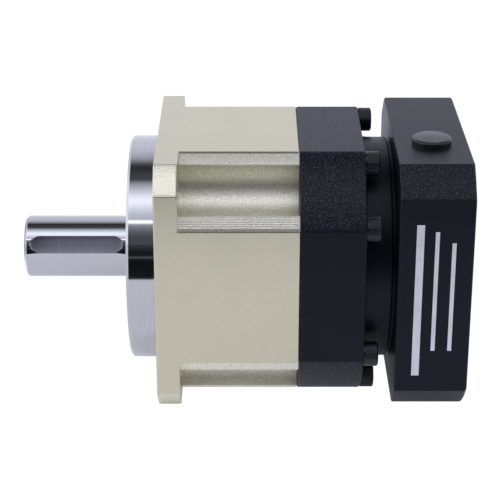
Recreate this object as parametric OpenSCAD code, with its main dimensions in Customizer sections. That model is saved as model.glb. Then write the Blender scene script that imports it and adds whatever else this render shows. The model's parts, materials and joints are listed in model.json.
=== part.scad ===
// Inline planetary servo gearbox, 90 mm frame, single stage 5:1.
// X is the gearbox axis: X = 0 is the mounting face, the output shaft points
// to -X and the motor side to +X. +Z is up. Lengths are in millimetres.

/* [Output shaft] */
// Diameter of the output shaft
shaft_d = 22; // [20:0.5:24]
// Reach of the shaft end in front of the mounting face
shaft_reach = 48.4; // [44:0.1:54]
// Diameter of the shaft shoulder that the seal runs on
shoulder_d = 35; // [33:0.5:36]
// Height of that shoulder above the pilot face
shoulder_h = 1.5; // [1:0.1:3]
// Width of the keyway
key_w = 6; // [5:0.5:8]
// Length of the keyway with its round ends
key_l = 32.3; // [20:0.1:33]
// Depth of the keyway
key_depth = 3.5; // [2.5:0.1:4]
// Plain end left in front of the keyway
key_end_gap = 2.6; // [2:0.1:6]
// Angle of the keyway from straight up, turned towards -Y
key_angle = 64.3; // [0:0.1:360]
// Core diameter of the tapped hole in the shaft end
centre_hole_d = 6.8; // [5:0.1:7]
// Depth of the tapped hole in the shaft end
centre_hole_depth = 19; // [12:1:22]

/* [Flange and pilot] */
// Side of the square frame
frame_w = 90; // [90:0.5:92]
// Thickness of the mounting flange
flange_t = 8; // [6:0.5:10]
// Diameter that the flange corners are turned to
flange_corner_d = 116; // [114:0.5:118]
// Diameter of the pilot spigot
pilot_d = 80; // [78:0.5:82]
// Height of the pilot spigot
pilot_h = 10; // [9:0.5:10.5]
// Bolt circle of the flange holes
flange_pcd = 100; // [98:0.5:102]
// Diameter of the flange holes
flange_hole_d = 6.6; // [5.5:0.1:7]

/* [Gear housing] */
// Distance from the mounting face to the joint with the input housing
gear_housing_l = 49; // [48.5:0.1:50]
// Diameter that the housing corners are turned to
body_corner_d = 102; // [101:0.5:104]
// Radius of the bolt-head relief along each corner
relief_r = 9.3; // [8:0.1:9.5]

/* [Input housing] */
// Length of the square part of the input housing
input_housing_l = 22.3; // [21.5:0.1:24]
// Diameter of the neck behind it
neck_d = 79; // [76:0.5:80]
// Length of the neck with its step
neck_l = 10.7; // [10:0.1:11]
// Radius that the housing bolts lie on
bolt_circle_r = 46.6; // [46:0.1:47]
// Angle of each housing bolt from its corner
bolt_angle = 15; // [14.5:0.1:16]

/* [Motor adapter] */
// Side of the motor adapter
adapter_w = 89.4; // [88:0.1:92]
// Thickness of the motor adapter
adapter_t = 25.2; // [24:0.1:28]
// Diameter that the adapter corners are turned to
adapter_corner_d = 114.2; // [112:0.2:118]
// Diameter of the motor pilot recess
motor_pilot_d = 70; // [70:0.5:72]
// Depth of the motor pilot recess
motor_pilot_depth = 5; // [3:0.5:6]
// Bolt circle of the motor screws
motor_pcd = 90; // [88:1:96]
// Core diameter of the motor screw holes
motor_hole_d = 5; // [4.2:0.1:6]
// Diameter of the motor shaft bore
motor_bore_d = 19; // [14:0.5:19]
// Offset of the clamp screw from the axis, towards -Y
clamp_offset = 15; // [15:0.1:16]
// Lift of the access plug above its seat
plug_lift = 0; // [0:1:20]

/* [Gear train] */
// Gear module
gear_module = 0.9; // [0.88:0.01:0.9]
// Teeth of the sun gear
sun_teeth = 18; // [18:18:18]
// Teeth of each planet gear
planet_teeth = 27; // [27:27:27]
// Number of planet gears
planet_count = 3; // [3:1:3]
// Width of the planet gears
gear_w = 15; // [12:0.5:15]
// Thinning of each tooth that gives the backlash
tooth_thinning = 0.09; // [0.05:0.01:0.12]

/* [Hidden] */
$fn = 96;
contact_gap = 0.01;

gold = [0.74, 0.71, 0.60];
steel = [0.78, 0.78, 0.80];
bearing_steel = [0.68, 0.70, 0.74];
gear_steel = [0.55, 0.56, 0.58];
black = [0.09, 0.10, 0.12];
screw_black = [0.05, 0.05, 0.06];
rubber = [0.16, 0.12, 0.11];
brass = [0.76, 0.62, 0.33];
plastic = [0.07, 0.07, 0.08];

// Places along the axis, from the output side to the motor side.
half_w = frame_w / 2;
cover_spigot_l = 3;
front_bearing_x = cover_spigot_l;
front_bearing_w = 15;
web_x = front_bearing_x + front_bearing_w;
ring_x = web_x + 2;
front_disc_x = web_x + 1;
front_disc_t = 6;
washer_t = 0.9;
gear_gap = 1;
gear_x = front_disc_x + front_disc_t + gear_gap;
rear_disc_x = gear_x + gear_w + gear_gap;
rear_disc_t = 6;
rear_bearing_w = 9;
rear_bearing_x = gear_housing_l + 1;
spigot_l = 3;
input_bearing_w = 9;
input_bearing_x = rear_bearing_x + rear_bearing_w + 3;
mid_end_x = gear_housing_l + input_housing_l;
adapter_x = mid_end_x + neck_l;
adapter_end_x = adapter_x + adapter_t;
clamp_x = adapter_x + adapter_t / 2;
collar_w = 14;
hub_end_x = clamp_x + collar_w / 2 - 0.3;

// Radii of the rotating parts and their seats.
shaft_r = shaft_d / 2;
shoulder_r = shoulder_d / 2;
front_seat_r = 20;
front_stop_r = 23.5;
front_outer_r = 34;
carrier_r = 31;
pillar_r = 6;
pillar_pitch_r = 24.5;
sun_pocket_r = 10;
sun_pocket_depth = 3;
rear_seat_r = 27.5;
rear_stop_r = 29;
rear_outer_r = 36;
rear_bore_r = 24.6;
input_seat_r = 15;
input_outer_r = 23.5;
hub_seal_r = 17.5;
hub_nose_r = 12;
collar_r = 22;

// Radii and steps of the fixed parts.
cover_web_t = 2.5;
cover_bore_r = 21.5;
cover_seal_r = 26;
cover_foot_r = front_outer_r + 2;
cover_spigot_bore_r = 30;
cover_undercut = [0.8, 0.5];
ring_outer_r = 36.5;
spigot_r = 38.3;
cavity_r = 25;
neck_step_r = neck_d / 2 - 2;
neck_step_l = 1.2;
stop_lip = 2.5;

// Broken edges: general, shaft end, and the motor side of the adapter.
edge_c = 0.4;
shaft_c = 1;
adapter_c = 0.8;

// How far the corner reliefs run into the back of the flange, and the angle from the
// corner at which their walls meet the turned corner.
relief_sink = 0.05;
body_corner_r = body_corner_d / 2;
relief_edge_angle = acos((pow(body_corner_r, 2) + pow(flange_pcd / 2, 2) - pow(relief_r, 2))
    / (body_corner_r * flange_pcd));
relief_edge_start = flange_t + 0.2;

// How far a cutting body stands out of the solid that it cuts.
over = 1;

// Bearings: pitch radius, ball radius, ball count.
race_gap = 0.05;
cage_gap = 0.08;
ring_shoulder = 0.45;
cage_shoulder = 0.22;
cage_margin = 0.12;
ball_fn = 48;
front_balls = [27, 3.95, 12];
rear_balls = [31.75, 2.45, 20];
input_balls = [19.25, 2.4, 13];

// Gear train.
PRESSURE = 20;
ring_teeth = sun_teeth + 2 * planet_teeth;
centre_r = gear_module * (sun_teeth + planet_teeth) / 2;
pin_r = 4;
planet_bore_r = 7;
needle_count = 11;
needle_gap = 0.03;
washer_r = 9;
pin_sink = 0.5;
ring_rim_r = gear_module * ring_teeth / 2 + 1.4;
sun_stub_r = gear_module * (sun_teeth / 2 - 1.25) - 0.075;
sun_press_x = rear_bearing_x + 8;

// Retaining rings and their grooves.
hub_clip_t = 1.5;
hub_clip_depth = 0.7;
housing_clip_t = 1.75;
housing_clip_depth = 1.25;

// O-ring in its groove on the spigot.
o_ring_r = 0.65;
o_ring_x = gear_housing_l - 1.3;
o_ring_half_groove = 0.8;

// Oil seals: width, lip gap.
seal_w = 7;
input_seal_w = 6;
lip_gap = 0.03;

// Screws: shank radius, head radius, head height, half the socket's width.
M6 = [3, 5, 6, 2.5];
M5 = [2.5, 4.25, 5, 2];
M4 = [2, 3.5, 4, 1.5];
function shank_r(size) = size[0];
function head_r(size) = size[1];
function head_h(size) = size[2];
function socket_r(size) = size[3] / cos(30);
clearance = 0.25;
head_clearance = 0.4;
blind_gap = 1.5;
adapter_bolt_r = 31;
housing_bolt_l = 35;
adapter_bolt_l = 25;
counterbore_depth = 6;
head_seat_x = adapter_end_x - motor_pilot_depth - counterbore_depth;
motor_hole_depth = 18;

// Clamp on the motor shaft: slots, screw and the hole over it.
hub_slot_w = 1.5;
collar_slot_w = 2;
clamp_head_z = 7;
clamp_screw_l = 20;
clamp_screw_gap = 0.05;
plug_hole_r = 5.5;

// Turns local Z onto the gearbox axis; local X becomes up and local Y becomes -Y.
module along_x(x = 0) translate([x, 0, 0]) rotate([0, 90, 0]) rotate([0, 0, 180]) children();

// Solid of revolution about the gearbox axis from [x, r] points.
module turned(points) along_x() rotate_extrude() polygon([for (p = points) [p[1], p[0]]]);

module rod(r, x0, x1) along_x(x0) cylinder(r = r, h = x1 - x0);

// Plain disc with its outer edges chamfered by ca and cb.
module disc(r, x0, x1, ca, cb) turned([
    [x0, 0], [x0, r - ca], [x0 + ca, r], [x1 - cb, r], [x1, r - cb], [x1, 0]]);

module ring(r0, r1, x0, x1, c = 0) turned([
    [x0, r0 + c], [x0, r1 - c], [x0 + c, r1], [x1 - c, r1],
    [x1, r1 - c], [x1, r0 + c], [x1 - c, r0], [x0 + c, r0]]);

// Copies at a radius, the first at angle a0 from straight up, turned towards -Y.
module around(n, r, a0 = 0)
    for (i = [0:n - 1])
        rotate([a0 + i * 360 / n, 0, 0]) translate([0, 0, r]) children();

// Cuts a turned child square between x0 and x1, with chamfers ca and cb on its flat edges.
module squared(x0, x1, half, ca, cb) {
    side = [[x0, half - ca], [x0 + ca, half], [x1 - cb, half], [x1, half - cb],
        [x1, cb - half], [x1 - cb, -half], [x0 + ca, -half], [x0, ca - half]];
    intersection() {
        translate([0, half * 2, 0]) rotate([90, 0, 0]) linear_extrude(half * 4) polygon(side);
        translate([0, 0, -half * 2]) linear_extrude(half * 4) polygon(side);
        children();
    }
}

// Socket-head cap screw along -X with the underside of its head at X = 0.
module cap_screw(size, length) {
    chamfer = 0.35;
    socket_floor = head_h(size) * 0.45;
    difference() {
        turned([[-length, 0], [-length, shank_r(size) - chamfer],
            [chamfer - length, shank_r(size)], [0, shank_r(size)], [0, head_r(size)],
            [head_h(size) - chamfer, head_r(size)], [head_h(size), head_r(size) - chamfer],
            [head_h(size), 0]]);
        along_x(socket_floor) cylinder(r = socket_r(size), h = head_h(size), $fn = 6);
    }
}

// Involute gear outline: each tooth is symmetric about its own centre line.
function involute(a) = tan(a) * 180 / PI - a;
function base_r(teeth) = gear_module * teeth * cos(PRESSURE) / 2;
function half_tooth(teeth, r, thinning) =
    90 / teeth + involute(PRESSURE) - involute(acos(min(1, base_r(teeth) / r)))
    - thinning * 180 / (PI * gear_module * teeth);
function flank(teeth, root_r, tip_r) =
    let (start_r = max(root_r, base_r(teeth)))
    concat(root_r < start_r ? [root_r] : [],
        [for (i = [0:4]) start_r + (tip_r - start_r) * i / 4]);
function polar(r, a) = [r * cos(a), r * sin(a)];
function gear_outline(teeth, root_r, tip_r, thinning) =
    let (radii = flank(teeth, root_r, tip_r), last = len(radii) - 1)
    [for (t = [0:teeth - 1]) each concat(
        [for (i = [0:last]) polar(radii[i], t * 360 / teeth - half_tooth(teeth, radii[i], thinning))],
        [for (i = [last:-1:0]) polar(radii[i], t * 360 / teeth + half_tooth(teeth, radii[i], thinning))])];

module spur_teeth(teeth, x0, x1)
    along_x(x0) linear_extrude(x1 - x0)
        polygon(gear_outline(teeth, gear_module * (teeth / 2 - 1.25), gear_module * (teeth / 2 + 1),
            tooth_thinning));

function pitch_r(balls) = balls[0];
function ball_r(balls) = balls[1];
function ball_count(balls) = balls[2];

// Groove that the balls run in.
module race(x, w, balls)
    along_x(x + w / 2) rotate_extrude()
        translate([pitch_r(balls), 0]) circle(ball_r(balls) + race_gap);

module ball_set(x, w, balls, r)
    translate([x + w / 2, 0, 0]) around(ball_count(balls), pitch_r(balls)) sphere(r, $fn = ball_fn);

module bearing_outer(x, w, balls, r1) color(bearing_steel) difference() {
    ring(pitch_r(balls) + ball_r(balls) * ring_shoulder, r1, x, x + w, edge_c);
    race(x, w, balls);
}

module bearing_inner(x, w, balls, r0) color(bearing_steel) difference() {
    ring(r0, pitch_r(balls) - ball_r(balls) * ring_shoulder, x, x + w, edge_c);
    race(x, w, balls);
}

module bearing_balls(x, w, balls) color(steel) ball_set(x, w, balls, ball_r(balls));

module bearing_cage(x, w, balls) color(brass) difference() {
    half = ball_r(balls) * cage_shoulder;
    ring(pitch_r(balls) - half, pitch_r(balls) + half, x + w * cage_margin, x + w * (1 - cage_margin));
    ball_set(x, w, balls, ball_r(balls) + cage_gap);
}

// Lip seal with an open channel on its inner side.
module lip_seal(r0, r1, x, w) {
    wall = 1.2;
    face = 1.6;
    lip_w = 0.8;
    lip_x = x + w / 2 - 0.2;
    color(rubber) turned([
        [x, r0 + wall], [x, r1 - edge_c], [x + edge_c, r1], [x + w, r1], [x + w, r1 - wall],
        [x + face, r1 - wall], [x + face, r0 + 2 * wall], [x + w - wall, r0 + face],
        [x + w - wall, r0 + lip_w], [lip_x + lip_w, r0 + lip_gap], [lip_x, r0 + lip_gap],
        [x + lip_w, r0 + wall - 0.2]]);
}

// Places children at the eight housing bolts.
module at_housing_bolts()
    for (s = [-1, 1])
        around(4, bolt_circle_r, 45 + s * bolt_angle) children();

module gear_housing() color(gold) difference() {
    flange_r = flange_corner_d / 2;
    squared(0, gear_housing_l, half_w, edge_c, edge_c)
        turned([[0, 0], [0, flange_r - edge_c], [edge_c, flange_r], [flange_t - edge_c, flange_r],
            [flange_t, flange_r - edge_c], [flange_t, body_corner_r],
            [gear_housing_l - edge_c, body_corner_r], [gear_housing_l, body_corner_r - edge_c],
            [gear_housing_l, 0]]);
    around(4, flange_pcd / 2, 45) {
        along_x(-over) cylinder(d = flange_hole_d, h = flange_t + 2 * over);
        along_x(flange_t - relief_sink) cylinder(r = relief_r, h = gear_housing_l);
    }
    for (s = [-1, 1])
        around(4, body_corner_r, 45 + s * relief_edge_angle)
            along_x(relief_edge_start) cylinder(r = edge_c, h = gear_housing_l, $fn = 4);
    at_housing_bolts()
        along_x(mid_end_x - housing_bolt_l - blind_gap) cylinder(r = shank_r(M5), h = gear_housing_l);
    turned([[-over, 0], [-over, cover_foot_r], [cover_spigot_l, cover_foot_r],
        [cover_spigot_l, front_outer_r], [web_x, front_outer_r], [web_x, carrier_r + 1],
        [ring_x, carrier_r + 1], [ring_x, ring_outer_r],
        [gear_housing_l - spigot_l, ring_outer_r], [gear_housing_l - spigot_l, spigot_r],
        [gear_housing_l + over, spigot_r], [gear_housing_l + over, 0]]);
}

module output_cover() {
    pilot_r = pilot_d / 2;
    pilot_c = 0.9;
    color(steel) turned([
        [-pilot_h, cover_seal_r], [-pilot_h, pilot_r - pilot_c], [pilot_c - pilot_h, pilot_r],
        [-cover_undercut[0], pilot_r], [-cover_undercut[0], pilot_r - cover_undercut[1]],
        [0, pilot_r - cover_undercut[1]], [0, cover_foot_r], [cover_spigot_l, cover_foot_r],
        [cover_spigot_l, cover_spigot_bore_r], [0, cover_spigot_bore_r], [0, cover_bore_r],
        [-cover_web_t, cover_bore_r], [-cover_web_t, cover_seal_r]]);
}

module output_oil_seal() lip_seal(shoulder_r, cover_seal_r, 0.5 - pilot_h, seal_w);

module ring_gear() color(gear_steel) difference() {
    x1 = gear_housing_l - spigot_l;
    side_gap = 2;
    tip_r = gear_module * (ring_teeth / 2 - 1);
    ring(tip_r - gear_module * 0.6, ring_outer_r, ring_x, x1);
    along_x(ring_x - over) linear_extrude(x1 - ring_x + 2 * over)
        polygon(gear_outline(ring_teeth, tip_r, gear_module * (ring_teeth / 2 + 1.25), -tooth_thinning));
    rod(ring_rim_r, ring_x - over, gear_x - side_gap);
    rod(ring_rim_r, gear_x + gear_w + side_gap, x1 + over);
}

// Slot with round ends cut into the shaft, opening a little at its rim.
module keyway() {
    rim = 0.55;
    floor_z = shaft_r - key_depth;
    rotate([key_angle, 0, 0]) translate([key_end_gap + key_w / 2 - shaft_reach, 0, 0]) {
        for (x = [0, key_l - key_w]) translate([x, 0, 0]) {
            translate([0, 0, floor_z]) cylinder(d = key_w, h = key_depth + over);
            translate([0, 0, shaft_r - rim])
                cylinder(r1 = key_w / 2, r2 = key_w / 2 + 2 * rim, h = 2 * rim);
        }
        translate([0, -key_w / 2, floor_z]) cube([key_l - key_w, key_w, key_depth + over]);
    }
}

// Output shaft with the front disc of the carrier behind it.
module shaft_and_front_disc() {
    shoulder_x = -pilot_h - shoulder_h;
    front_disc_end_x = front_disc_x + front_disc_t;
    turned([[-shaft_reach, 0], [-shaft_reach, shaft_r - shaft_c], [shaft_c - shaft_reach, shaft_r],
        [shoulder_x, shaft_r], [shoulder_x, shoulder_r - edge_c], [shoulder_x + edge_c, shoulder_r],
        [0, shoulder_r], [0, front_seat_r], [web_x, front_seat_r], [web_x, front_stop_r],
        [front_disc_x, front_stop_r], [front_disc_x, carrier_r - edge_c],
        [front_disc_x + edge_c, carrier_r], [front_disc_end_x, carrier_r], [front_disc_end_x, 0]]);
}

module rear_disc() {
    rear_disc_end_x = rear_disc_x + rear_disc_t;
    seat_end_x = rear_bearing_x + rear_bearing_w;
    turned([[rear_disc_x, sun_pocket_r], [rear_disc_x, carrier_r], [rear_disc_end_x, carrier_r],
        [rear_disc_end_x, rear_stop_r], [rear_bearing_x, rear_stop_r], [rear_bearing_x, rear_seat_r],
        [seat_end_x, rear_seat_r], [seat_end_x, rear_bore_r], [rear_disc_end_x, rear_bore_r],
        [rear_disc_end_x, sun_pocket_r]]);
}

module output_carrier() color(steel) difference() {
    thread_mouth = 2;
    union() {
        shaft_and_front_disc();
        rear_disc();
        around(planet_count, pillar_pitch_r, 180 / planet_count)
            rod(pillar_r, front_disc_x + over, rear_disc_x + over);
    }
    along_x(-shaft_reach - over) cylinder(d = centre_hole_d, h = centre_hole_depth + over);
    turned([[-shaft_reach - over, 0], [-shaft_reach - over, centre_hole_d / 2 + thread_mouth],
        [over - shaft_reach, centre_hole_d / 2], [over - shaft_reach, 0]]);
    keyway();
    rod(sun_pocket_r, gear_x - sun_pocket_depth, gear_x);
    around(planet_count, centre_r) rod(pin_r, front_disc_x + over, rear_disc_x + rear_disc_t + over);
}

module planet_pins() color(bearing_steel)
    around(planet_count, centre_r)
        disc(pin_r, front_disc_x + over, rear_disc_x + rear_disc_t - pin_sink, edge_c, edge_c);

module planet_washers() color(brass)
    around(planet_count, centre_r) {
        ring(pin_r, washer_r, gear_x - gear_gap, gear_x - gear_gap + washer_t);
        ring(pin_r, washer_r, rear_disc_x - washer_t, rear_disc_x);
    }

module planet_gear(i) color(gear_steel)
    rotate([i * 360 / planet_count, 0, 0]) translate([0, 0, centre_r]) difference() {
        spur_teeth(planet_teeth, gear_x, gear_x + gear_w);
        rod(planet_bore_r, gear_x - over, gear_x + gear_w + over);
    }

module planet_needles(i) color(steel)
    rotate([i * 360 / planet_count, 0, 0]) translate([0, 0, centre_r])
        around(needle_count, (pin_r + planet_bore_r) / 2)
            rod((planet_bore_r - pin_r) / 2 - needle_gap, gear_x + 1, gear_x + gear_w - 1);

module front_bearing_outer()
    bearing_outer(front_bearing_x, front_bearing_w, front_balls, front_outer_r);
module front_bearing_inner()
    bearing_inner(front_bearing_x, front_bearing_w, front_balls, front_seat_r);
module front_bearing_balls() bearing_balls(front_bearing_x, front_bearing_w, front_balls);
module front_bearing_cage() bearing_cage(front_bearing_x, front_bearing_w, front_balls);

module rear_bearing_outer()
    bearing_outer(rear_bearing_x, rear_bearing_w, rear_balls, rear_outer_r);
module rear_bearing_inner()
    bearing_inner(rear_bearing_x, rear_bearing_w, rear_balls, rear_seat_r);
module rear_bearing_balls() bearing_balls(rear_bearing_x, rear_bearing_w, rear_balls);
module rear_bearing_cage() bearing_cage(rear_bearing_x, rear_bearing_w, rear_balls);

module input_bearing_outer()
    bearing_outer(input_bearing_x, input_bearing_w, input_balls, input_outer_r);
module input_bearing_inner()
    bearing_inner(input_bearing_x, input_bearing_w, input_balls, input_seat_r);
module input_bearing_balls() bearing_balls(input_bearing_x, input_bearing_w, input_balls);
module input_bearing_cage() bearing_cage(input_bearing_x, input_bearing_w, input_balls);

module sun_gear() color(gear_steel) {
    tooth_margin = 0.4;
    spur_teeth(sun_teeth, gear_x - tooth_margin, gear_x + gear_w + tooth_margin);
    rod(sun_stub_r, gear_x + gear_w, sun_press_x);
}

// Hollow hub between the sun gear and the clamp, slotted at its motor end.
module input_hub() color(steel) difference() {
    groove_x = input_bearing_x - hub_clip_t;
    groove_r = input_seat_r - hub_clip_depth;
    seat_start_x = groove_x - 1;
    shoulder_x = input_bearing_x + input_bearing_w;
    seal_end_x = adapter_x + 2;
    bore_floor_x = input_bearing_x + 4;
    bore_r = motor_bore_d / 2;
    turned([[rear_bearing_x, sun_stub_r], [rear_bearing_x, hub_nose_r],
        [seat_start_x, hub_nose_r], [seat_start_x, input_seat_r], [groove_x, input_seat_r],
        [groove_x, groove_r], [input_bearing_x, groove_r], [input_bearing_x, input_seat_r],
        [shoulder_x, input_seat_r], [shoulder_x, hub_seal_r], [seal_end_x, hub_seal_r],
        [seal_end_x, hub_nose_r], [hub_end_x - edge_c, hub_nose_r],
        [hub_end_x, hub_nose_r - edge_c], [hub_end_x, bore_r], [bore_floor_x, bore_r],
        [bore_floor_x, 0], [sun_press_x, 0], [sun_press_x, sun_stub_r]]);
    for (a = [0, 90])
        rotate([a, 0, 0]) translate([seal_end_x + 2, -hub_slot_w / 2, -hub_seal_r])
            cube([adapter_t, hub_slot_w, 2 * hub_seal_r]);
}

// Retaining ring with its gap upwards.
module circlip(r0, r1, x, t) {
    gap_w = 4;
    color(screw_black) difference() {
        ring(r0, r1, x, x + t);
        translate([x - over, -gap_w / 2, 0]) cube([t + 2 * over, gap_w, r1 + over]);
    }
}

module hub_circlip()
    circlip(input_seat_r - hub_clip_depth, input_seat_r + 2.2, input_bearing_x - hub_clip_t, hub_clip_t);

module input_bearing_circlip()
    circlip(input_outer_r - 2.4, input_outer_r + housing_clip_depth,
        input_bearing_x + input_bearing_w, housing_clip_t);

module input_oil_seal() lip_seal(hub_seal_r, input_outer_r, adapter_x - input_seal_w - 0.5, input_seal_w);

// Spigot that centres the input housing in the gear housing, with its O-ring groove.
module input_spigot() {
    start_x = gear_housing_l - spigot_l;
    groove_r = spigot_r - 2 * o_ring_r;
    turned([[start_x, 0], [start_x, spigot_r - edge_c], [start_x + edge_c, spigot_r],
        [o_ring_x - o_ring_half_groove, spigot_r], [o_ring_x - o_ring_half_groove, groove_r],
        [o_ring_x + o_ring_half_groove, groove_r], [o_ring_x + o_ring_half_groove, spigot_r],
        [gear_housing_l + over, spigot_r], [gear_housing_l + over, 0]]);
}

module neck() {
    neck_r = neck_d / 2;
    step_x = adapter_x - neck_step_l;
    turned([[mid_end_x - over, 0], [mid_end_x - over, neck_r], [step_x - edge_c, neck_r],
        [step_x, neck_r - edge_c], [step_x, neck_step_r], [adapter_x, neck_step_r], [adapter_x, 0]]);
}

// Stepped bore for the rear bearing, the input bearing with its clip, and the seal.
module input_bore() {
    rear_end_x = rear_bearing_x + rear_bearing_w;
    lip_x = input_bearing_x - 2;
    clip_x = input_bearing_x + input_bearing_w;
    clip_r = input_outer_r + housing_clip_depth;
    start_x = gear_housing_l - spigot_l - over;
    turned([[start_x, 0], [start_x, rear_outer_r], [rear_end_x, rear_outer_r],
        [rear_end_x, rear_outer_r - stop_lip], [lip_x, rear_outer_r - stop_lip],
        [lip_x, input_outer_r - stop_lip], [input_bearing_x, input_outer_r - stop_lip],
        [input_bearing_x, input_outer_r], [clip_x, input_outer_r], [clip_x, clip_r],
        [clip_x + housing_clip_t, clip_r], [clip_x + housing_clip_t, input_outer_r],
        [adapter_x + over, input_outer_r], [adapter_x + over, 0]]);
}

module input_housing() color(black) difference() {
    adapter_thread_l = 11.5;
    union() {
        squared(gear_housing_l, mid_end_x, half_w, edge_c, edge_c)
            disc(body_corner_r, gear_housing_l, mid_end_x, edge_c, edge_c);
        input_spigot();
        neck();
    }
    input_bore();
    at_housing_bolts()
        along_x(gear_housing_l - over)
            cylinder(r = shank_r(M5) + clearance, h = input_housing_l + 2 * over);
    around(4, adapter_bolt_r)
        along_x(adapter_x - adapter_thread_l) cylinder(r = shank_r(M4), h = adapter_thread_l + over);
}

module housing_o_ring() color(rubber)
    along_x(o_ring_x) rotate_extrude() translate([spigot_r - o_ring_r, 0]) circle(o_ring_r, $fn = 32);

module housing_bolts() color(screw_black)
    at_housing_bolts() translate([mid_end_x, 0, 0]) cap_screw(M5, housing_bolt_l);

// Central cavity for the clamp, opening into the motor pilot recess.
module adapter_bore() {
    recess_x = adapter_end_x - motor_pilot_depth;
    recess_r = motor_pilot_d / 2;
    recess_c = 0.5;
    turned([[adapter_x - over, 0], [adapter_x - over, cavity_r], [recess_x, cavity_r],
        [recess_x, recess_r], [adapter_end_x - recess_c, recess_r],
        [adapter_end_x + recess_c, recess_r + 2 * recess_c], [adapter_end_x + recess_c, 0]]);
}

module motor_adapter() color(black) difference() {
    squared(adapter_x, adapter_end_x, adapter_w / 2, edge_c, edge_c)
        disc(adapter_corner_d / 2, adapter_x, adapter_end_x, edge_c, adapter_c);
    adapter_bore();
    around(4, motor_pcd / 2, 45)
        along_x(adapter_end_x - motor_hole_depth) cylinder(d = motor_hole_d, h = motor_hole_depth + over);
    around(4, adapter_bolt_r) {
        along_x(adapter_x - over) cylinder(r = shank_r(M4) + clearance, h = adapter_t);
        along_x(head_seat_x) cylinder(r = head_r(M4) + head_clearance, h = adapter_t);
    }
    translate([clamp_x, -clamp_offset, 0]) cylinder(r = plug_hole_r, h = adapter_w);
}

module adapter_bolts() color(screw_black)
    around(4, adapter_bolt_r) translate([head_seat_x, 0, 0]) cap_screw(M4, adapter_bolt_l);

module clamp_collar() color(gear_steel) difference() {
    ring(hub_nose_r, collar_r, clamp_x - collar_w / 2, clamp_x + collar_w / 2, edge_c);
    translate([clamp_x - collar_w, -collar_r - over, -collar_slot_w / 2])
        cube([2 * collar_w, collar_r + over, collar_slot_w]);
    translate([clamp_x, -clamp_offset, clamp_head_z - clamp_screw_l - over])
        cylinder(r = shank_r(M6) + clamp_screw_gap, h = clamp_screw_l + 2 * over);
    translate([clamp_x, -clamp_offset, clamp_head_z])
        cylinder(r = head_r(M6) + head_clearance, h = collar_r);
}

module clamp_screw() color(screw_black)
    translate([clamp_x, -clamp_offset, clamp_head_z + contact_gap]) rotate([0, -90, 0])
        cap_screw(M6, clamp_screw_l);

// Mushroom plug: hollow skirt with a snap lip below a domed head.
module access_plug() {
    skirt_r = plug_hole_r - 0.05;
    skirt_l = 6;
    snap_l = 4.5;
    bore_r = 4;
    edge_r = 6.85;
    edge_h = 1.5;
    round_r = 0.9;
    dome_r = 6.1;
    dome_z = 2.4;
    dome_h = 0.3;
    color(plastic)
        translate([clamp_x, -clamp_offset, adapter_w / 2 + contact_gap + plug_lift]) rotate_extrude()
            polygon(concat(
                [[0, -1], [bore_r, -1], [bore_r, -skirt_l], [skirt_r - 0.5, -skirt_l],
                    [skirt_r, -snap_l], [skirt_r, 0], [edge_r, 0], [edge_r, edge_h]],
                [for (a = [15:15:60]) [edge_r - 1 + cos(a), edge_h + round_r * sin(a)]],
                [for (a = [0:0.25:1]) [dome_r * (1 - a), dome_z + dome_h * sin(90 * a)]]));
}

gear_housing();
output_cover();
output_oil_seal();
ring_gear();
output_carrier();
planet_pins();
planet_washers();
planet_gear(0);  // planet_gear_1
planet_gear(1);  // planet_gear_2
planet_gear(2);  // planet_gear_3
planet_needles(0);  // planet_needles_1
planet_needles(1);  // planet_needles_2
planet_needles(2);  // planet_needles_3
front_bearing_outer();
front_bearing_inner();
front_bearing_balls();
front_bearing_cage();
rear_bearing_outer();
rear_bearing_inner();
rear_bearing_balls();
rear_bearing_cage();
sun_gear();
input_hub();
hub_circlip();
input_bearing_outer();
input_bearing_inner();
input_bearing_balls();
input_bearing_cage();
input_bearing_circlip();
input_oil_seal();
input_housing();
housing_o_ring();
housing_bolts();
motor_adapter();
adapter_bolts();
clamp_collar();
clamp_screw();
access_plug();
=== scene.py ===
"""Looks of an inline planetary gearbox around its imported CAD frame. Lengths are in metres."""
import json
import math

import bpy
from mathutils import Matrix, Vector


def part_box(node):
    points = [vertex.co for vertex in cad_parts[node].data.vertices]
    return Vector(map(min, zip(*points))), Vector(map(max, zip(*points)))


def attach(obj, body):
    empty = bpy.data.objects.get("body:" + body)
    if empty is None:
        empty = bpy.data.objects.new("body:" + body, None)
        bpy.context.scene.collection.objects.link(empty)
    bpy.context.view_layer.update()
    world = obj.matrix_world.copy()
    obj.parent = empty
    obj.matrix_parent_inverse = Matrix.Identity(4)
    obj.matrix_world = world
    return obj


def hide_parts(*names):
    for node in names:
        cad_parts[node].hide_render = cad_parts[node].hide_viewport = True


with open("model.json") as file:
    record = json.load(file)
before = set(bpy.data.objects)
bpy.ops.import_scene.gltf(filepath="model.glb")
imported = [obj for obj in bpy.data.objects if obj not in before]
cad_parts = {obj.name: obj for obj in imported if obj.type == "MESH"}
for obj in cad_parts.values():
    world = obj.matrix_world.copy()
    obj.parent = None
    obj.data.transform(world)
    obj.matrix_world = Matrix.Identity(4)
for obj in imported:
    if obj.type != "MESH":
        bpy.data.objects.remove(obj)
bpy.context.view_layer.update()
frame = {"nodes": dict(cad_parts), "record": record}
MM = 0.001

# Driving places, read from the frame.
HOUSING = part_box("gear_housing")
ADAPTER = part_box("motor_adapter")
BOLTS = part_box("housing_bolts")
FLOOR_Z = HOUSING[0].z
ADAPTER_FACE_Y = ADAPTER[0].y

# Sizes of the turned and milled surfaces, as in the CAD model.
SHAFT_R = 11 * MM
KEY_W = 6 * MM
BODY_R = 51 * MM
FLANGE_T = 8 * MM
EDGE_C = 0.4 * MM

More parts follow.
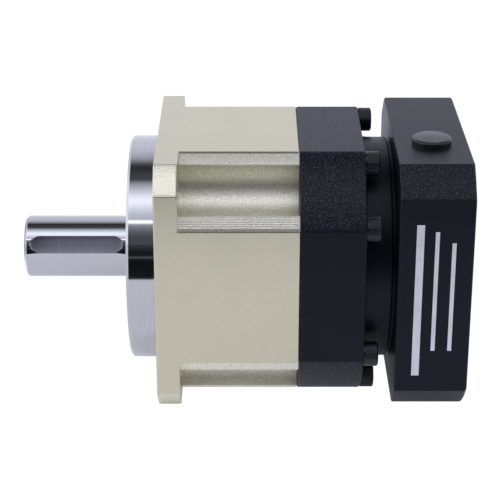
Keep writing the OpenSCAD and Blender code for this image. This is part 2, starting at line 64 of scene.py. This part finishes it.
# Where the finishes change: beyond FLAT_REACH along Y or Z lies a flat side, beyond CORNER_R
# from the axis a turned corner. SHARP is the width of a change that looks sharp.
FLAT_REACH = min(HOUSING[1].y, ADAPTER[1].y) - 0.2 * MM
CORNER_R = BODY_R - 0.3 * MM
SHARP = 0.05 * MM

# Housing bolts: M5 cap screws.
BOLT_CIRCLE_R = 46.6 * MM
BOLT_ANGLE = math.radians(15)
BOLT_HEAD_R = 4.25 * MM
BOLT_HEAD_H = 5 * MM
BOLT_SHANK_R = 2.5 * MM
BOLT_SOCKET_R = 2 * MM

# Colour of bare steel, and what its darker clouds keep of it.
STEEL = (0.55, 0.55, 0.555)
STEEL_CLOUD = 0.94

# Sockets of the Mix node that carry colours.
MIX_A = 6
MIX_B = 7
MIX_RESULT = 2


# ---------------------------------------------------------------- node helpers
class Graph:
    """Small builder for one node tree."""

    def __init__(self, tree):
        self.tree = tree

    def add(self, kind, inputs=None, **settings):
        """A new shader node, with its inputs set or linked."""
        made = self.tree.nodes.new("ShaderNode" + kind)
        for key, value in settings.items():
            setattr(made, key, value)
        for key, value in (inputs or {}).items():
            self.feed(made.inputs[key], value)
        return made

    def feed(self, socket, value):
        """Link a node's output to the socket, or set the socket; colours come without alpha."""
        if isinstance(value, bpy.types.NodeSocket):
            self.tree.links.new(value, socket)
        elif socket.type == "RGBA":
            socket.default_value = (*value, 1)
        else:
            socket.default_value = value

    def split(self, coordinates):
        """The three axes of one kind of texture coordinates."""
        return self.add("SeparateXYZ", {0: self.add("TexCoord").outputs[coordinates]}).outputs

    def math(self, operation, a, b=0.0, clamp=False):
        return self.add("Math", {0: a, 1: b}, operation=operation, use_clamp=clamp).outputs[0]

    def plus(self, a, b, clamp=False):
        return self.math("ADD", a, b, clamp)

    def minus(self, a, b):
        return self.math("SUBTRACT", a, b)

    def times(self, first, *others):
        product = first
        for factor in others:
            product = self.math("MULTIPLY", product, factor)
        return product

    def absolute(self, value):
        return self.math("ABSOLUTE", value)

    def above(self, value, limit, soft=SHARP):
        """0 below limit, 1 above limit + soft."""
        return self.math("DIVIDE", self.minus(value, limit), soft, clamp=True)

    def mix(self, fac, a, b):
        return self.add("Mix", {0: fac, MIX_A: a, MIX_B: b}, data_type="RGBA").outputs[MIX_RESULT]


class Finish(Graph):
    """Builder for one material in the object's own space."""

    def __init__(self, name):
        self.material = bpy.data.materials.new(name)
        self.material.use_nodes = True
        super().__init__(self.material.node_tree)
        self.shader = self.tree.nodes["Principled BSDF"]
        self.x, self.y, self.z = self.split("Object")

    def radius(self):
        """Distance from the gearbox axis."""
        return self.math("SQRT", self.plus(self.times(self.y, self.y), self.times(self.z, self.z)))

    def angle(self):
        """Angle about the gearbox axis, in radians."""
        return self.math("ARCTAN2", self.y, self.z)

    def flat(self):
        """1 on the four flat sides and the end faces, 0 elsewhere."""
        facing_x = 0.8
        reach = self.math("MAXIMUM", self.absolute(self.y), self.absolute(self.z))
        end_face = self.above(self.absolute(self.split("Normal")[0]), facing_x, soft=0.1)
        return self.math("MAXIMUM", self.above(reach, FLAT_REACH), end_face)

    def curved(self):
        """1 where flat() is 0: on the turned corners and in the reliefs."""
        return self.minus(1.0, self.flat())

    def turned_corner(self):
        """1 on the turned corners, 0 on the flat sides and inside."""
        return self.times(self.above(self.radius(), CORNER_R, soft=0.1 * MM), self.curved())

    def noise(self, size_mm, detail=2.0, roughness=0.5, stretch=(1, 1, 1)):
        """Noise from 0 to 1; a stretch below 1 draws it out along that axis."""
        vector = self.add("TexCoord").outputs["Object"]
        if stretch != (1, 1, 1):
            vector = self.add("Mapping", {"Vector": vector, "Scale": stretch}).outputs[0]
        return self.add("TexNoise", {"Vector": vector, "Scale": 1 / (size_mm * MM), "Detail": detail,
                                     "Roughness": roughness}).outputs["Fac"]

    def spread(self, fac, low, high, source=(0.0, 1.0)):
        """Values from low to high, as fac runs over the source range."""
        return self.add("MapRange", {"Value": fac, "From Min": source[0], "From Max": source[1],
                                     "To Min": low, "To Max": high}).outputs[0]

    def blend(self, fac, source, low, high):
        """Colour from low to high, as fac runs over the source range."""
        return self.mix(self.spread(fac, 0, 1, source), low, high)

    def clouds(self, size_mm, low, high):
        """Colour that drifts between low and high over clouds of that size."""
        return self.blend(self.noise(size_mm, detail=3), (0.3, 0.7), low, high)

    def bump(self, height, depth_mm, normal=None):
        inputs = {"Height": height, "Distance": depth_mm * MM}
        if normal is not None:
            inputs["Normal"] = normal
        return self.add("Bump", inputs).outputs[0]

    def soft_edges(self, radius_mm):
        """Normal that rounds the sharp edges, so that they catch the light."""
        return self.add("Bevel", {"Radius": radius_mm * MM}, samples=8).outputs[0]

    def set(self, **values):
        """Set or link the shader's inputs by name, and return the material."""
        for key, value in values.items():
            self.feed(self.shader.inputs[key.replace("_", " ")], value)
        return self.material


def scaled(colour, factor):
    """The colour times the factor, at most full."""
    return tuple(min(1.0, factor * c) for c in colour)


# ------------------------------------------------------------------- materials
def broken_edge(g, radius):
    """1 on the broken edge between a relief and the turned corner beside it."""
    skin = 0.08 * MM
    inner = g.above(radius, BODY_R - EDGE_C)
    outer = g.above(radius, BODY_R - skin)
    return g.times(inner, g.minus(1.0, outer))


def tool_lines(g, where):
    """Normal with wavering lines along the gearbox, where a corner turns into an upright side."""
    pitch = math.radians(0.85)
    waver_radians = 4.0
    depth_mm = 0.03
    waver = g.times(g.noise(2.5), waver_radians)
    steep = g.above(g.minus(g.absolute(g.y), g.absolute(g.z)), -4 * MM, soft=10 * MM)
    phase = g.plus(g.times(g.angle(), 2 * math.pi / pitch), waver)
    height = g.times(g.math("SINE", phase), g.turned_corner(), steep, where)
    return g.bump(height, depth_mm, g.soft_edges(0.6))


def champagne_nickel():
    """Satin nickel with a fine blasted grain, coarser and rougher on the corners and in the reliefs, with
    painted glints as light flecks and a painted highlight on the broken edges behind the flange.
    """
    satin_low = (0.624, 0.581, 0.421)
    satin_high = (0.647, 0.600, 0.440)
    # Painted glints: light flecks in the base colour that stand in for the grain's sparkle.
    painted_glint_low = (0.70, 0.67, 0.55)
    painted_glint_high = (0.98, 0.95, 0.80)
    # Painted highlight along the broken edges of the reliefs behind the flange.
    painted_edge_highlight = (1.0, 0.99, 0.90)
    edge_roughness = 0.10
    behind_roughness = 0.20
    behind_sparkle = 0.5
    g = Finish("champagne_nickel")
    curved = g.curved()
    behind_flange = g.times(curved, g.above(g.x, FLANGE_T, soft=0.3 * MM))
    # Broken edges behind the flange: rougher, and with a painted highlight in the colour.
    edge = g.times(behind_flange, broken_edge(g, g.radius()))
    fleck = g.noise(0.42, detail=1)
    satin = g.clouds(16, satin_low, satin_high)
    # Painted sparkle in the colour: few flecks on the flat sides, more on the curved parts, most behind the
    # flange.
    painted_sparkle = g.blend(fleck, (0.35, 0.65), painted_glint_low, painted_glint_high)
    sparkle_share = g.plus(g.spread(curved, 0.06, 0.5), g.times(behind_flange, behind_sparkle))
    rougher = g.plus(g.times(behind_flange, behind_roughness), g.times(edge, edge_roughness))
    grain = g.times(g.noise(0.45, roughness=0.6), g.spread(curved, 0.4, 3.2))
    return g.set(Base_Color=g.mix(edge, g.mix(sparkle_share, satin, painted_sparkle), painted_edge_highlight), Metallic=1.0,
                 Roughness=g.plus(g.spread(fleck, 0.24, 0.34), rougher),
                 Normal=g.bump(grain, 0.03, tool_lines(g, behind_flange)))


def turned_steel(name, rough, groove_mm):
    """Builder of steel turned about the gearbox axis, with tool marks that run round it."""
    g = Finish(name)
    fine = g.noise(groove_mm, roughness=0.6, stretch=(1, 0.02, 0.02))
    coarse = g.noise(groove_mm * 6, stretch=(1, 0.08, 0.08))
    colour = g.blend(coarse, (0.3, 0.7), scaled(STEEL, STEEL_CLOUD), STEEL)
    tangent = g.add("Tangent", direction_type="RADIAL", axis="X").outputs[0]
    g.set(Base_Color=colour, Metallic=1.0, Roughness=g.spread(fine, rough * 0.8, rough * 1.25),
          Normal=g.bump(fine, 0.0015), Anisotropic=0.8, Anisotropic_Rotation=0.25, Tangent=tangent)
    return g


def shaft_steel():
    """Ground steel; what lies deeper than the shaft's surface, such as the keyway, is rough milled, with
    painted shade in its colour: darker under the keyway's upper wall, lighter towards its lower side.
    """
    # Painted shade and painted light: the keyway's floor from dark under its upper wall to light at its
    # lower side.
    keyway_shaded = (0.45, 0.45, 0.52)
    keyway_lit = (1.0, 1.0, 1.0)
    milled_rough = 0.5
    ground_rough = 0.10
    g = turned_steel("ground_steel", ground_rough, groove_mm=0.10)
    outside = g.above(g.radius(), SHAFT_R - 0.3 * MM)
    # Painted shade across the keyway, from its upper side (0) to its lower side (1).
    keyway_shade_ramp = g.spread(g.z, 0, 1, (KEY_W / 2, -KEY_W / 2))
    streak = g.spread(g.noise(0.5, stretch=(1, 0.1, 0.1)), -0.12, 0.12, (0.3, 0.7))
    # Milled colour with the painted shade, streaked along the shaft.
    milled = g.mix(g.plus(keyway_shade_ramp, streak, clamp=True), keyway_shaded, keyway_lit)
    ground = g.mix(g.noise(0.6, stretch=(1, 0.08, 0.08)), scaled(STEEL, STEEL_CLOUD), STEEL)
    return g.set(Base_Color=g.mix(outside, milled, ground),
                 Roughness=g.spread(outside, milled_rough, ground_rough))


def black_anodised():
    """Black anodised aluminium: painted glints as bright points on the turned corners, and on the top faces
    a faint grain painted lighter as a painted sheen from above.
    """
    even_low = (0.0038, 0.0056, 0.0115)
    even_high = (0.0048, 0.0068, 0.0135)
    # Painted glints on the turned corners: bright points, and darker colour between them.
    between_points = (0.0005, 0.0015, 0.004)
    point = (0.066, 0.072, 0.095)
    # Partly real grain, partly painted sheen: lighter flecks put only on the top faces, the block's more
    # than the adapter's.
    top_grain_and_sheen = (0.060, 0.063, 0.075)
    adapter_share = 0.25
    block_share = 0.9
    g = Finish("black_anodised")
    corner = g.turned_corner()
    even = g.clouds(20, even_low, even_high)
    # Painted glints: bright points in the colour of the turned corners.
    painted_points = g.mix(g.above(g.noise(0.32, detail=0), 0.55, soft=0.18), between_points, point)
    top = g.above(g.z, FLAT_REACH)
    on_block = g.math("LESS_THAN", g.x, ADAPTER[0].x)
    share = g.spread(on_block, adapter_share, block_share)
    # Grain on the top faces only, lighter there as a painted sheen from above.
    grain = g.times(g.above(g.noise(0.42, detail=1), 0.44, soft=0.20), share, top)
    height = g.times(g.noise(0.33, roughness=0.6), g.spread(corner, 1.0, 1.4))
    return g.set(Base_Color=g.mix(grain, g.mix(corner, even, painted_points), top_grain_and_sheen), Metallic=0.0,
                 Roughness=g.spread(g.noise(0.24, detail=1), 0.32, 0.44),
                 Normal=g.bump(height, 0.035, g.soft_edges(0.3)), IOR=1.28)


def plain(name, base, metallic, rough, grain_mm=0.3, depth_mm=0.004, **extra):
    """Even finish with soft clouding and a fine grain."""
    tone_swing = 0.1
    rough_swing = 0.15
    g = Finish(name)
    cloud = g.noise(8, detail=3)
    colour = g.blend(cloud, (0.2, 0.8), scaled(base, 1 - tone_swing), scaled(base, 1 + tone_swing))
    return g.set(Base_Color=colour, Metallic=metallic,
                 Roughness=g.spread(cloud, rough * (1 - rough_swing), rough * (1 + rough_swing)),
                 Normal=g.bump(g.noise(grain_mm, detail=3, roughness=0.6), depth_mm), **extra)


MATERIALS = {
    "champagne_nickel": champagne_nickel(),
    "turned_steel": turned_steel("turned_steel", 0.11, groove_mm=0.14).material,
    "ground_steel": shaft_steel(),
    "black_anodised": black_anodised(),
    "gear_steel": plain("gear_steel", (0.42, 0.42, 0.43), 1.0, 0.30),
    "bearing_steel": plain("bearing_steel", STEEL, 1.0, 0.12, depth_mm=0.001),
    "cage_brass": plain("cage_brass", (0.72, 0.56, 0.28), 1.0, 0.32),
    "bronze": plain("bronze", (0.62, 0.45, 0.26), 1.0, 0.35),
    "spring_steel": plain("spring_steel", (0.12, 0.12, 0.125), 0.8, 0.4),
    "collar_steel": plain("collar_steel", (0.16, 0.16, 0.17), 0.9, 0.35),
    "seal_rubber": plain("seal_rubber", (0.055, 0.022, 0.016), 0.0, 0.55, grain_mm=0.15, depth_mm=0.01),
    "black_oxide_screw": plain("black_oxide_screw", (0.006, 0.007, 0.010), 0.0, 0.26, IOR=1.42),
    "black_plastic": plain("black_plastic", (0.014, 0.014, 0.018), 0.0, 0.27, grain_mm=0.35, IOR=1.5),
}


def dress_nodes():
    """Give each CAD node the material of its slot."""
    for row in frame["record"]["subparts"]:
        slots = frame["nodes"][row["node"]].data.materials
        slots.clear()
        slots.append(MATERIALS[row["material_slot"]])


# ---------------------------------------------------------------------- pieces
def placed(name, data):
    """A new object in the scene."""
    made = bpy.data.objects.new(name, data)
    bpy.context.scene.collection.objects.link(made)
    return made


def mesh_object(name, vertices, faces, material):
    """A new mesh of one material in the scene."""
    mesh = bpy.data.meshes.new(name)
    mesh.from_pydata(vertices, [], faces)
    mesh.materials.append(material)
    return placed(name, mesh)


def knurled_screw(head_x):
    """Rings of one socket-head screw about its own axis, each a list of (x, radius) per step."""
    ridges = 48
    steps = ridges * 2
    ridge_depth = 0.05 * MM
    ridge_start = 0.6 * MM
    rim = 0.4 * MM
    face_r = BOLT_HEAD_R - 1.6 * rim
    socket_floor = BOLT_HEAD_H * 0.45
    length = head_x - BOLTS[0].x

    def even(x, r):
        return [(head_x + x, r)] * steps

    def ridged(x):
        return [(head_x + x, BOLT_HEAD_R - ridge_depth * (i % 2)) for i in range(steps)]

    def hexagon(x):
        sector = math.radians(60)
        turns = [(i * 2 * math.pi / steps) % sector - sector / 2 for i in range(steps)]
        return [(head_x + x, BOLT_SOCKET_R / math.cos(turn)) for turn in turns]

    return [
        even(-length, 0.0),
        even(-length, BOLT_SHANK_R - rim),
        even(rim - length, BOLT_SHANK_R),
        even(0, BOLT_SHANK_R),
        even(0, BOLT_HEAD_R - ridge_depth),
        even(ridge_start, BOLT_HEAD_R - ridge_depth),
        ridged(ridge_start),
        ridged(BOLT_HEAD_H - rim),
        even(BOLT_HEAD_H - rim / 2, BOLT_HEAD_R - rim),
        even(BOLT_HEAD_H, face_r),
        hexagon(BOLT_HEAD_H),
        hexagon(socket_floor),
        even(socket_floor, 0.0),
    ]


def housing_screws():
    """Eight knurled cap screws in place of the plain CAD ones."""
    rings = knurled_screw(BOLTS[1].x - BOLT_HEAD_H)
    steps = len(rings[0])
    angles = [math.radians(45 + 90 * corner) + side * BOLT_ANGLE for corner in range(4) for side in (-1, 1)]
    vertices = []
    faces = []
    for angle in angles:
        centre_y = -BOLT_CIRCLE_R * math.sin(angle)
        centre_z = BOLT_CIRCLE_R * math.cos(angle)
        first = len(vertices)
        for ring in rings:
            for i, (x, r) in enumerate(ring):
                turn = i * 2 * math.pi / steps
                vertices.append((x, centre_y + r * math.cos(turn), centre_z + r * math.sin(turn)))
        for k in range(len(rings) - 1):
            start = first + k * steps
            for i in range(steps):
                here = start + i
                beside = start + (i + 1) % steps
                faces.append((here, beside, beside + steps, here + steps))
    made = mesh_object("housing_screws", vertices, faces, MATERIALS["black_oxide_screw"])
    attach(made, "housing")
    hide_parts("housing_bolts")


def printed_bars():
    """Plain printed bars on the adapter's front face, in place of its lettering."""
    white = plain("print_white", (0.80, 0.80, 0.82), 0.0, 0.5)
    thick = 0.03 * MM
    sink = 0.02 * MM
    y0 = ADAPTER_FACE_Y - thick
    y1 = ADAPTER_FACE_Y + sink
    # From the adapter's front edge to the bar's middle, width, lower and upper end, in millimetres.
    bars = [(7.0, 2.6, -29.5, 26.5), (12.7, 1.4, -20, 24), (18.4, 1.4, -20, 20)]
    faces = [(0, 1, 3, 2), (4, 6, 7, 5), (0, 4, 5, 1), (2, 3, 7, 6), (0, 2, 6, 4), (1, 5, 7, 3)]
    for i, (offset, width, low, high) in enumerate(bars, 1):
        x0 = ADAPTER[0].x + (offset - width / 2) * MM
        x1 = x0 + width * MM
        vertices = [(x, y, z) for x in (x0, x1) for y in (y0, y1) for z in (low * MM, high * MM)]
        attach(mesh_object(f"printed_bar_{i}", vertices, faces, white), "housing")


# ----------------------------------------------------------------------- stage
WHITE = (1, 1, 1)
# A little over full white, so that the picture's background is plain white.
WHITE_STRENGTH = 1.05
LIGHT_TINT = (0.965, 1.0, 1.15)


def tinted(level):
    """Colour of the studio's light at this level, which may be over full."""
    return tuple(level * c for c in LIGHT_TINT)


def empty_graph(owner):
    """Builder for a material's or a world's node tree, without its default nodes."""
    owner.use_nodes = True
    owner.node_tree.nodes.clear()
    return Graph(owner.node_tree)


def white_for_camera(g, white, light):
    """Mix that shows the white shader to the camera and the light one to everything else."""
    camera_ray = g.add("LightPath").outputs["Is Camera Ray"]
    return g.add("MixShader", {0: camera_ray, 1: light, 2: white}).outputs[0]


def floor_material():
    """Plain white to look at; in reflections pale as far as the floor's front edge, and dark before it."""
    front_edge_y = -0.285
    own_light = 0.27
    dark = 0.010
    material = bpy.data.materials.new("floor_white")
    g = empty_graph(material)
    near = g.math("GREATER_THAN", g.split("Object")[1], front_edge_y)
    glow = g.add("Emission", {"Color": tinted(own_light), "Strength": near}).outputs[0]
    cloth = g.add("BsdfDiffuse", {"Color": (0.9, 0.9, 0.9)}).outputs[0]
    before_edge = g.add("Emission", {"Color": tinted(dark)}).outputs[0]
    lit = g.add("MixShader", {0: near, 1: before_edge, 2: cloth}).outputs[0]
    pale = g.add("AddShader", {0: lit, 1: glow}).outputs[0]
    white = g.add("Emission", {"Color": WHITE, "Strength": WHITE_STRENGTH}).outputs[0]
    g.add("OutputMaterial", {0: white_for_camera(g, white, pale)})
    return material


def floor():
    """Large level floor under the flat sides that the gearbox lies on."""
    half = 4.0
    corners = [(-half, -half), (half, -half), (half, half), (-half, half)]
    vertices = [(x, y, FLOOR_Z) for x, y in corners]
    mesh_object("floor", vertices, [(0, 1, 2, 3)], floor_material())


def light_arc(g):
    """Light by pitch: a dark zone in front, a long softbox overhead and pale walls behind."""
    # Pitch in degrees from the front horizon over the top, with 90 straight up, and the level there.
    stops = [(-180, 0.9), (-12, 0.9), (-10, 0.01), (10.4, 0.01), (11.3, 0.19), (12.2, 0.015), (17, 0.015),
             (21.5, 0.05), (24.8, 0.06), (25.1, 0.26), (25.4, 0.09), (33, 0.115), (37, 0.18), (41, 0.31),
             (46.2, 0.51), (46.5, 3.0), (48.1, 3.0), (48.5, 0.70), (52, 0.84), (56, 0.95), (60.5, 1.22),
             (69.5, 1.72), (74, 1.48), (80, 1.06), (89, 0.52), (94.0, 0.10), (104, 0.07), (110, 0.035),
             (115, 0.09), (126, 0.60), (140, 0.88), (180, 0.93)]
    _, y, z = g.split("Generated")
    pitch = g.math("ARCTAN2", z, g.times(y, -1.0))
    ramp = g.add("ValToRGB", {"Fac": g.plus(g.math("DIVIDE", pitch, 2 * math.pi), 0.5)})
    elements = ramp.color_ramp.elements
    elements.remove(elements[-1])
    for i, (degrees, level) in enumerate(stops):
        spot = (degrees + 180) / 360
        element = elements[0] if i == 0 else elements.new(spot)
        element.position = spot
        element.color = (*tinted(level), 1)
    return g.add("Background", {"Color": ramp.outputs["Color"]}).outputs[0]


def studio_world():
    """A bright room with the arc of light over it and an even panel at each side."""
    panel_start = 0.72
    panel_gain = 9.0
    left_level = 1.35
    right_level = 0.6
    world = bpy.data.worlds.new("studio")
    bpy.context.scene.world = world
    g = empty_graph(world)
    x = g.split("Generated")[0]
    at_side = g.math("MULTIPLY", g.minus(g.absolute(x), panel_start), panel_gain, clamp=True)
    on_left = g.math("LESS_THAN", x, 0.0)
    panel_colour = g.mix(on_left, tinted(right_level), tinted(left_level))
    panels = g.add("Background", {"Color": panel_colour}).outputs[0]
    inside = g.add("MixShader", {0: at_side, 1: light_arc(g), 2: panels}).outputs[0]
    white = g.add("Background", {"Color": WHITE, "Strength": WHITE_STRENGTH}).outputs[0]
    g.add("OutputWorld", {0: white_for_camera(g, white, inside)})


def camera():
    """Long lens that looks down on the gearbox's front."""
    elevation = math.radians(23.3)
    distance = 0.6037
    aim = Vector((0.0322, -0.00061, -0.00141))
    data = bpy.data.cameras.new("camera")
    data.lens = 119.9
    data.sensor_width = 36
    made = placed("camera", data)
    made.location = aim + distance * Vector((0, -math.cos(elevation), math.sin(elevation)))
    made.rotation_euler = (math.pi / 2 - elevation, 0, 0)
    bpy.context.scene.camera = made


def plain_colours():
    """Colours as they are, with no film look over them."""
    view = bpy.context.scene.view_settings
    view.view_transform = "Standard"
    view.look = "None"


dress_nodes()
housing_screws()
printed_bars()
floor()
studio_world()
camera()
plain_colours()
